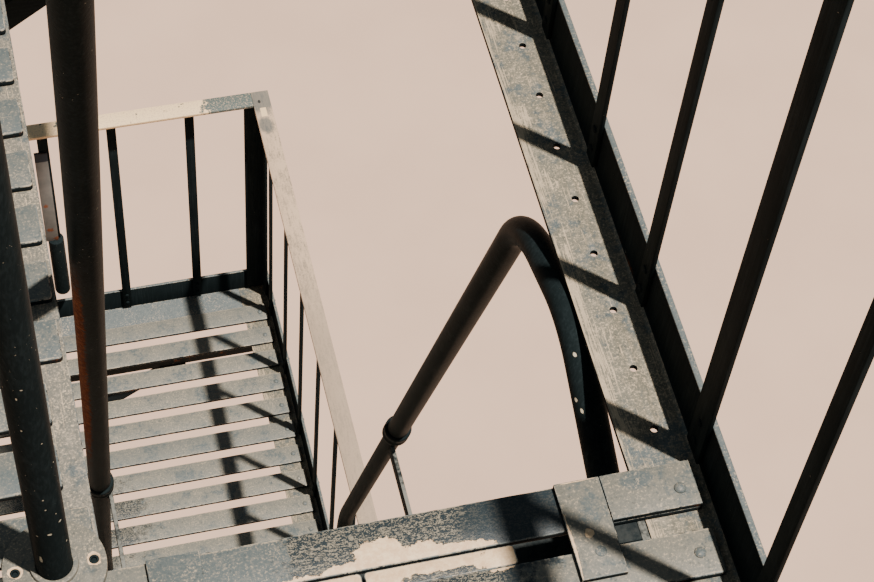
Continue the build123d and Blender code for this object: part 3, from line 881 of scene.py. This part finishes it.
pipeWork = {
    "radius": 0.0211,
    "lowerRadius": 0.0185,
    "sides": 40,
    "ringStep": 0.04,  # rings along a straight run are about this far apart
    "bendSteps": 12,
    "smooth": 50,  # degrees
    "couplingHigh": 2.20254,
    "couplingLow": 2.15346,
    "shoulderEnd": (1.1565, 3.4691),  # Y and Z of the right handrail's corners
    "shoulder": (1.4125, 3.593),
    "rightTop": 3.526,
    "shoulderBend": 0.150,
    "topBend": 0.180,
    "footY": 2.447,
    "footStop": 0.076,
    "footBend": 0.600,
}


def bentPipe(name, corners, bends, radius):
    # a ring carried along the route: straight runs are extruded, bends are spun
    heading = (corners[1] - corners[0]).normalized()
    turn = heading.to_track_quat("Z", "Y").to_euler()
    clearSelection()
    bpy.ops.mesh.primitive_circle_add(
        vertices=pipeWork["sides"], radius=radius, location=corners[0], rotation=turn
    )
    piece = bpy.context.object
    piece.name = name
    applyPlace()
    editAll(piece)
    bpy.ops.mesh.select_mode(type="VERT")
    legs = []
    for index, bend in enumerate(bends):
        inward = (corners[index + 1] - corners[index]).normalized()
        outward = (corners[index + 2] - corners[index + 1]).normalized()
        angle = inward.angle(outward)
        reach = bend * math.tan(angle / 2)
        axis = inward.cross(outward).normalized()
        bendStart = corners[index + 1] - inward * reach
        centre = bendStart + axis.cross(inward) * bend
        legs.append((bendStart, None))
        legs.append((corners[index + 1] + outward * reach, (angle, centre, axis)))
    legs.append((corners[-1], None))
    here = corners[0]
    for there, arc in legs:
        if arc:
            angle, centre, axis = arc
            steps = pipeWork["bendSteps"]
            # with no window a positive angle turns left-handed
            bpy.ops.mesh.spin(steps=steps, angle=-angle, center=centre, axis=axis)
        else:
            count = max(1, round((there - here).length / pipeWork["ringStep"]))
            step = (there - here) / count
            for _ in range(count):
                bpy.ops.mesh.extrude_region_move(TRANSFORM_OT_translate={"value": step})
        here = there
    finishShell()
    return piece


def railPoint(x, z):  # on the axis of a handrail's straight run
    return Vector((x, flight["axisAtDeck"] + (flight["deckTop"] - z) * flight["slope"], z))


def layPipe(node, piece, finish):
    coat(piece, [finish])
    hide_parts(node)
    return settle(piece, pipeWork["smooth"])


leftX, rightX = flight["leftX"], flight["rightX"]
rightRail = bentPipe(
    "right_handrail_pipe",
    [
        Vector((rightX, *pipeWork["shoulderEnd"])), Vector((rightX, *pipeWork["shoulder"])),
        railPoint(rightX, pipeWork["rightTop"]), railPoint(rightX, pipeWork["couplingHigh"]),
    ],
    [pipeWork["shoulderBend"], pipeWork["topBend"]], pipeWork["radius"],
)
editAll(rightRail)  # the end is cut along the stringer that it is welded to
bpy.ops.mesh.bisect(
    plane_co=(0, flight["nosingAtDeck"], flight["deckTop"]), plane_no=(0, 1, flight["slope"]),
    use_fill=True, clear_inner=True,
)
bpy.ops.object.mode_set(mode="OBJECT")
layPipe("right_handrail", rightRail, rightRailFinish)

postTop = flight["deckTop"] + (flight["axisAtDeck"] - post["y"]) / flight["slope"]
leftRail = bentPipe(
    "left_handrail_pipe",
    [
        Vector((post["x"], post["y"], post["foot"])), Vector((post["x"], post["y"], postTop)),
        Vector((leftX, post["y"], postTop)), railPoint(leftX, pipeWork["couplingHigh"]),
    ],
    [post["bend"]] * 2, pipeWork["radius"],
)
layPipe("left_handrail_and_post", leftRail, postFinish)

footY = pipeWork["footY"]
footHeight = flight["deckTop"] - (footY - flight["axisAtDeck"]) / flight["slope"]
lowerRails = []
for x in (leftX, rightX):
    route = [
        railPoint(x, pipeWork["couplingLow"]), Vector((x, footY, footHeight)),
        Vector((x, footY, pipeWork["footStop"])),
    ]
    bends, radius = [pipeWork["footBend"]], pipeWork["lowerRadius"]
    lowerRails.append(bentPipe("lower_handrail_pipe", route, bends, radius))
layPipe("lower_handrails", joinPieces(lowerRails), lowerRailFinish)

coupling = {
    "sides": 36,
    "profile": [
        (0, 0), (0.0205, 0), (0.0245, 0.0003), (0.0268, 0.0025), (0.0270, 0.0120), (0.0258, 0.0140),
        (0.0258, 0.0380), (0.0270, 0.0400), (0.0268, 0.0495), (0.0245, 0.0517), (0.0175, 0.052),
        (0, 0.052),
    ],
}
couplings = []
for x in (leftX, rightX):
    high, low = railPoint(x, pipeWork["couplingHigh"]), railPoint(x, pipeWork["couplingLow"])
    collar = turnedPiece("handrail_coupling", coupling["profile"], coupling["sides"])
    collar.matrix_world = standing(high, low - high)
    couplings.append(collar)
layPipe("handrail_couplings", joinPieces(couplings), lowerRailFinish)

hanger = {
    "sides": 32,
    "profile": [
        (0, 0), (0.0215, 0), (0.0232, 0.0012), (0.0235, 0.0035), (0.0235, 0.262), (0.0228, 0.2692),
        (0.0215, 0.2700), (0.0203, 0.2690), (0.0200, 0.266), (0.0200, 0.150), (0, 0.150),
    ],
}
low, high = (Vector(corner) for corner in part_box("lower_hanger_pipe"))
hangerPipe = turnedPiece("hanging_pipe", hanger["profile"], hanger["sides"])
hangerPipe.matrix_world = standing(((low.x + high.x) / 2, (low.y + high.y) / 2, high.z), (0, 0, -1))
layPipe("lower_hanger_pipe", hangerPipe, postFinish)
print("stage: handrails bent")


# rivets, bolts, screws and welds

fastener = {
    "rivet": [(0.0075, 0), (0.0072, 0.0016), (0.0055, 0.0034), (0.0028, 0.0044), (0, 0.0047)],
    "smallRivet": [(0.0060, 0), (0.0052, 0.0021), (0.0026, 0.0036), (0, 0.0040)],
    "washer": [(0, 0), (0.0148, 0), (0.0152, 0.0008), (0.0148, 0.0028), (0, 0.0030)],
    "nut": [(0.0136, 0.0030), (0.0136, 0.0142), (0.0124, 0.0158), (0, 0.0158)],
    "stud": [(0.0078, 0.0158), (0.0078, 0.0300), (0.0066, 0.0314), (0, 0.0314)],
    "socketScrew": [
        (0.0066, -0.0026), (0.0062, -0.0014), (0.0034, -0.0012), (0.0030, -0.0045), (0, -0.0048),
    ],
    "pressedRing": [
        (0.0072, 0), (0.0069, 0.0006), (0.0062, 0.0006), (0.0058, 0.0001), (0.0022, 0.0003),
        (0, 0.0002),
    ],
    "sunk": 0.0003,  # how deep a head sits in its plate
    "legX": 1.378,  # rivets of the slats on the edge angle
    "slatRivetSunk": 0.0004,
    "packerRivet": (1.3776, 1.1286),
    "packerRivetSunk": 0.0002,
    "rivetHeights": (0.026, 0.066),  # of the guard's rivets above the deck
    "plateReach": 0.045,  # from a wall plate's middle to its bolts
    "tallPlate": 0.20,  # taller plates have their bolts farther apart
    "tallReach": 0.080,
    "shortReach": 0.055,
    "railPlateReach": 0.030,
    "railBoltScale": 0.5,
    "lugHeight": 0.36,  # share of a lug's height where its bolts are
    "lugInset": 0.020,
    "treadInset": 0.022,
    "treadRivetScale": 0.9,
    "rings": [
        ((1.4160, 1.2778, 3.5938), (-1, 0, 0)), ((1.4160, 1.6300, 3.6000), (-1, 0, 0)),
    ],
    "packerRing": (1.2616, 1.0673),
}
joints = [  # lugs, their web's thickness, the bolts' scale, the way they are spread and how far
    ("flight_head_lugs", 0.008, 0.85, "Y", 0.018),
    ("flight_foot_lugs", 0.008, 0.85, "Y", 0.018),
    ("flight_header_lugs", 0.008, 0.85, "Z", 0.018),
    ("tread_clips", 0.005, 0.60, "Y", 0.030),
]


def edgeBars(level):  # the balusters of the outer edge and the wide post between them
    return solidBoxes(f"{level}_outer_balusters") + solidBoxes(f"{level}_guard_posts")[1:2]


def makeMaster(name, *parts):  # each part: the name of its profile, and its sides
    return joinPieces([turnedPiece(name, fastener[profile], sides) for profile, sides in parts])


rivetMaster = makeMaster("slat_rivet", ("rivet", 16))
smallRivetMaster = makeMaster("guard_rivet", ("smallRivet", 10))
boltMaster = makeMaster("wall_bolt", ("washer", 16), ("nut", 6), ("stud", 10))
headMaster = makeMaster("bolt_head", ("washer", 14), ("nut", 6))
screwMaster = makeMaster("flange_screw", ("socketScrew", 16))
ringMaster = makeMaster("pressed_ring", ("pressedRing", 20))
sunk = fastener["sunk"]

packerLow, packerHigh = solidBoxes("flight_strap_plates")[-1]
packerRivetZ = packerHigh.z - fastener["packerRivetSunk"]
slatRivets = [standing((*fastener["packerRivet"], packerRivetZ), twist=0.3)]
for node in ("upper_near_slats", "upper_far_slats", "lower_near_slats", "lower_far_slats"):
    for low, high in solidBoxes(node):
        if node == "upper_near_slats" and high.y > packerLow.y:  # hidden by the strap plates
            continue
        spot = (fastener["legX"], (low.y + high.y) / 2, high.z - fastener["slatRivetSunk"])
        slatRivets.append(standing(spot, twist=low.y))
scatter("slat_rivets", rivetMaster, slatRivets, rivetFinish)

guardRivets = []
for level in levels:
    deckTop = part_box(f"{level}_near_slats")[1][2]
    heights = [deckTop + height for height in fastener["rivetHeights"]]
    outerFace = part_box(f"{level}_outer_upright")[1][0]
    nearFace, farFace = (corner[1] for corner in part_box(f"{level}_end_angles"))
    for low, high in edgeBars(level):
        middle = (low.y + high.y) / 2
        for z in heights:
            outer, inner = (outerFace - sunk, middle, z), (low.x + sunk, middle, z)
            guardRivets += [standing(outer, (1, 0, 0)), standing(inner, (-1, 0, 0))]
    for low, high in solidBoxes(f"{level}_end_balusters"):
        middle = (low.x + high.x) / 2
        way = -1 if high.y < 0 else 1  # out of the landing, at its near or far end
        outside, inside = (nearFace, high.y) if way < 0 else (farFace, low.y)
        for z in heights:
            outer, inner = (middle, outside - way * sunk, z), (middle, inside + way * sunk, z)
            guardRivets += [standing(outer, (0, way, 0)), standing(inner, (0, -way, 0))]
scatter("guard_rivets", smallRivetMaster, guardRivets, barFinish)

wallBolts = []  # each nut is turned its own way
for level in levels:
    for low, high in solidBoxes(f"{level}_wall_plates"):
        _, y, z = (low + high) / 2
        isTall = high.z - low.z > fastener["tallPlate"]
        reachZ = fastener["tallReach"] if isTall else fastener["shortReach"]
        for sideY in (-1, 1):
            for sideZ in (-1, 1):
                spot = (high.x - sunk, y + sideY * fastener["plateReach"], z + sideZ * reachZ)
                wallBolts.append(standing(spot, (1, 0, 0), y * 7 + sideY * 0.4 + sideZ * 0.9))
    for low, high in solidBoxes(f"{level}_rail_plates"):
        _, y, z = (low + high) / 2
        for side in (-1, 1):
            spot = (high.x - sunk, y + side * fastener["railPlateReach"], z)
            wallBolts.append(standing(spot, (1, 0, 0), side * 0.5, fastener["railBoltScale"]))
scatter("wall_bolts", boltMaster, wallBolts, frameFinish)

jointBolts = []
for node, thickness, boltScale, along, spread in joints:
    for low, high in solidBoxes(node):
        isLeft = low.x < (leftX + rightX) / 2
        spot = (low + high) / 2
        spot.x = low.x + thickness if isLeft else high.x - thickness
        if node == "flight_foot_lugs":
            spot.z = high.z - fastener["lugInset"]
        elif node == "flight_header_lugs":
            spot.y = high.y - fastener["lugInset"]
        else:
            spot.z = low.z + (high.z - low.z) * fastener["lugHeight"]
        for side in (-1, 1):
            place = spot.copy()
            place["XYZ".index(along)] += side * spread
            facing = (1 if isLeft else -1, 0, 0)
            jointBolts.append(standing(place, facing, place.z * 9 + side, boltScale))
scatter("flight_bolts", headMaster, jointBolts, flightFinish)

treadRivets = []
for low, high in solidBoxes("treads"):
    for x in (low.x + fastener["treadInset"], high.x - fastener["treadInset"]):
        spot = (x, (low.y + high.y) / 2, high.z - sunk)
        treadRivets.append(standing(spot, scale=fastener["treadRivetScale"]))
scatter("tread_rivets", smallRivetMaster, treadRivets, flightFinish)

flangeScrews = []
for degrees in (0, 90, 180, 270):
    turn = math.radians(degrees)
    outward = Vector((math.cos(turn), math.sin(turn), 0)) * post["screwCircle"]
    spot = Vector((post["x"], post["y"], post["foot"])) + outward
    flangeScrews.append(standing(spot, twist=turn))
scatter("flange_screws", screwMaster, flangeScrews, barFinish)

pressedRings = [standing((*fastener["packerRing"], packerHigh.z))]
pressedRings += [standing(spot, facing) for spot, facing in fastener["rings"]]
scatter("pressed_rings", ringMaster, pressedRings, rivetFinish)

weld = {
    "radius": 0.0036,
    "sides": 7,
    "length": 0.05,
    "ripples": 9,
    "swell": 1.22,
    "thin": 0.6,  # share of the bead's thickness, on the guard
    "strutSeat": 0.0834,
    "strutFoot": 0.0624,
}


def makeBead():  # one rippled run of weld along X
    clearSelection()
    bpy.ops.mesh.primitive_circle_add(
        vertices=weld["sides"], radius=weld["radius"], rotation=(0, math.pi / 2, 0)
    )
    piece = bpy.context.object
    piece.name = "weld_bead"
    applyPlace()
    editAll(piece)
    bpy.ops.mesh.select_mode(type="VERT")
    step = weld["length"] / weld["ripples"]
    for ripple in range(weld["ripples"]):
        bpy.ops.mesh.extrude_region_move(TRANSFORM_OT_translate={"value": (step, 0, 0)})
        swell = weld["swell"] if ripple % 2 == 0 else 1 / weld["swell"]
        centre = (step * (ripple + 1), 0, 0)
        bpy.ops.transform.resize(value=(1, swell, swell), center_override=centre)
    finishShell()
    return piece


def beadAlong(start, end, thickness=1.0):
    run = Vector(end) - Vector(start)
    turn = run.to_track_quat("X", "Z").to_matrix().to_4x4()
    scale = Matrix.Diagonal((run.length / weld["length"], thickness, thickness, 1))
    return Matrix.Translation(start) @ turn @ scale


beadMaster = makeBead()
beads = []
for level in levels:
    for low, high in solidBoxes(f"{level}_bracket_struts"):
        for y in (low.y, high.y):
            beads.append(beadAlong((high.x - weld["strutSeat"], y, high.z), (high.x, y, high.z)))
            beads.append(beadAlong((low.x, y, low.z), (low.x, y, low.z + weld["strutFoot"])))
    for low, high in solidBoxes(f"{level}_bracket_bars"):
        for y in (low.y, high.y):
            beads.append(beadAlong((low.x, y, low.z), (low.x, y, high.z)))
    for low, high in edgeBars(level):
        start, end = (low.x, low.y, high.z), (low.x, high.y, high.z)
        beads.append(beadAlong(start, end, weld["thin"]))
    for low, high in solidBoxes(f"{level}_end_balusters"):
        innerY = high.y if high.y < 0 else low.y
        start, end = (low.x, innerY, high.z), (high.x, innerY, high.z)
        beads.append(beadAlong(start, end, weld["thin"]))
scatter("weld_beads", beadMaster, beads, frameFinish)

for master in (
    rivetMaster, smallRivetMaster, boltMaster, headMaster, screwMaster, ringMaster, beadMaster,
):
    bpy.data.objects.remove(master)
print("stage: fasteners and welds placed")


# hanging plate below the end rail: smooth pale paint, a painted shadow of the rail across its top,
# and three spots of rust

plateLook = {
    "pale": (0.205, 0.190, 0.172),
    # the colour of the painted shadow across the plate's top
    "dark": (0.016, 0.020, 0.028),
    "rust": (0.240, 0.085, 0.040),
    "clouds": (20.0, 4.0, 0.6),
    "mottle": (160.0, 5.0, 0.7),
    "cloudLimits": (0.35, 0.65),
    "cloudCover": 0.35,
    "darkLimits": (0.888, 0.891),  # heights where the painted shadow starts over the pale paint
    "rustSpots": [
        ((0.7585, 3.90, 0.676), (0.0060, 0.05, 0.009)),
        ((0.7620, 3.90, 0.556), (0.0090, 0.05, 0.008)),
        ((0.7820, 3.90, 0.510), (0.0130, 0.05, 0.009)),
    ],
    "paintStep": 0.0004,
    "roughness": 0.5,
    "specular": 0.3,
}


def platePaint(name):
    look = plateLook
    material, place = startMaterial(name)
    clouds, mottle = grains(place, look, "clouds", "mottle")
    bluish = rise(clouds, *look["cloudLimits"]) * look["cloudCover"]
    color = blendTone(bluish, look["pale"], deckLook["bluish"])
    # painted shadow: the plate's top is made dark where the rail's shadow falls
    top = rise(axisOf(place, 2) + mottle * 0.004, *look["darkLimits"])
    color = blendTone(top, color, look["dark"])
    rust = ovalSpots(place, look["rustSpots"], (mottle - 0.5) * 3.0, 0.3)
    color = blendTone(rust, color, look["rust"])
    height = mottle * 0.3 + rust * 0.4
    roughness = look["roughness"] + rust * 0.3
    return endMaterial(material, color, roughness, height, look)


paintedCopy("lower_hanger_plate", [platePaint("hanging_plate_paint")], thin)
print("stage: hanging plate painted")


# camera, light and floor

eye = {
    "place": (0.660, 0.0105, 5.868),
    "right": (0.96948429, -0.23684231, 0.06329248),
    "down": (-0.16147086, -0.81116793, -0.56207985),
    "ahead": (0.18446512, 0.53470769, -0.82465769),
    "lens": 89.08,
    "filmWidth": 36.0,
    "farthest": 400.0,
}
studio = {
    "keyWay": (0.225, -0.202, 0.953),
    "keyStrength": 9.0,
    "keySpread": 1.4,  # degrees across: the shadows' borders stay a little soft
    "keyTone": (1.0, 0.97, 0.92),
    "skyTone": (0.76, 0.90, 1.0),
    "skyStrength": 0.22,
    "floorTone": (0.52, 0.34, 0.24),
    "floorShade": (0.49, 0.32, 0.225),
    "floorMottle": (1.5, 3.0, 0.5),
    "floorLimits": (0.3, 0.7),
    "roughness": 0.8,
    "paintStep": 0.001,
    "specular": 0.3,
    "floorDrop": 3.0,  # metres below the lowest foot
    "floorSize": 300.0,
}

lens = bpy.data.cameras.new("photo_camera")
lens.sensor_fit = "HORIZONTAL"
lens.sensor_width = eye["filmWidth"]
lens.lens = eye["lens"]
lens.clip_end = eye["farthest"]
camera = bpy.data.objects.new("photo_camera", lens)
bpy.context.scene.collection.objects.link(camera)
right, down, ahead = Vector(eye["right"]), Vector(eye["down"]), Vector(eye["ahead"])
turned = Matrix((right, -down, -ahead)).transposed()
camera.matrix_world = Matrix.Translation(eye["place"]) @ turned.to_4x4()
bpy.context.scene.camera = camera

clearSelection()
floorHeight = cadBox[0][2] - studio["floorDrop"]
bpy.ops.mesh.primitive_plane_add(size=studio["floorSize"], location=(0, 0, floorHeight))
floor = bpy.context.object
floor.name = "pale_floor"
material, place = startMaterial("pale_floor_paint")
mottle = grain(place, *studio["floorMottle"])
shade = rise(mottle, *studio["floorLimits"])
color = blendTone(shade, studio["floorTone"], studio["floorShade"])
endMaterial(material, color, studio["roughness"], mottle, studio)
floor.data.materials.append(material)

key = bpy.data.lights.new("soft_key", "SUN")
key.energy = studio["keyStrength"]
key.angle = math.radians(studio["keySpread"])
key.color = studio["keyTone"]
keyObject = bpy.data.objects.new("soft_key", key)
bpy.context.scene.collection.objects.link(keyObject)
keyObject.rotation_euler = Vector(studio["keyWay"]).to_track_quat("Z", "Y").to_euler()

world = bpy.data.worlds.new("pale_studio")
bpy.context.scene.world = world
world.use_nodes = True
background = world.node_tree.nodes["Background"]
background.inputs["Color"].default_value = (*studio["skyTone"], 1)
background.inputs["Strength"].default_value = studio["skyStrength"]
print("stage: camera, light and floor set")
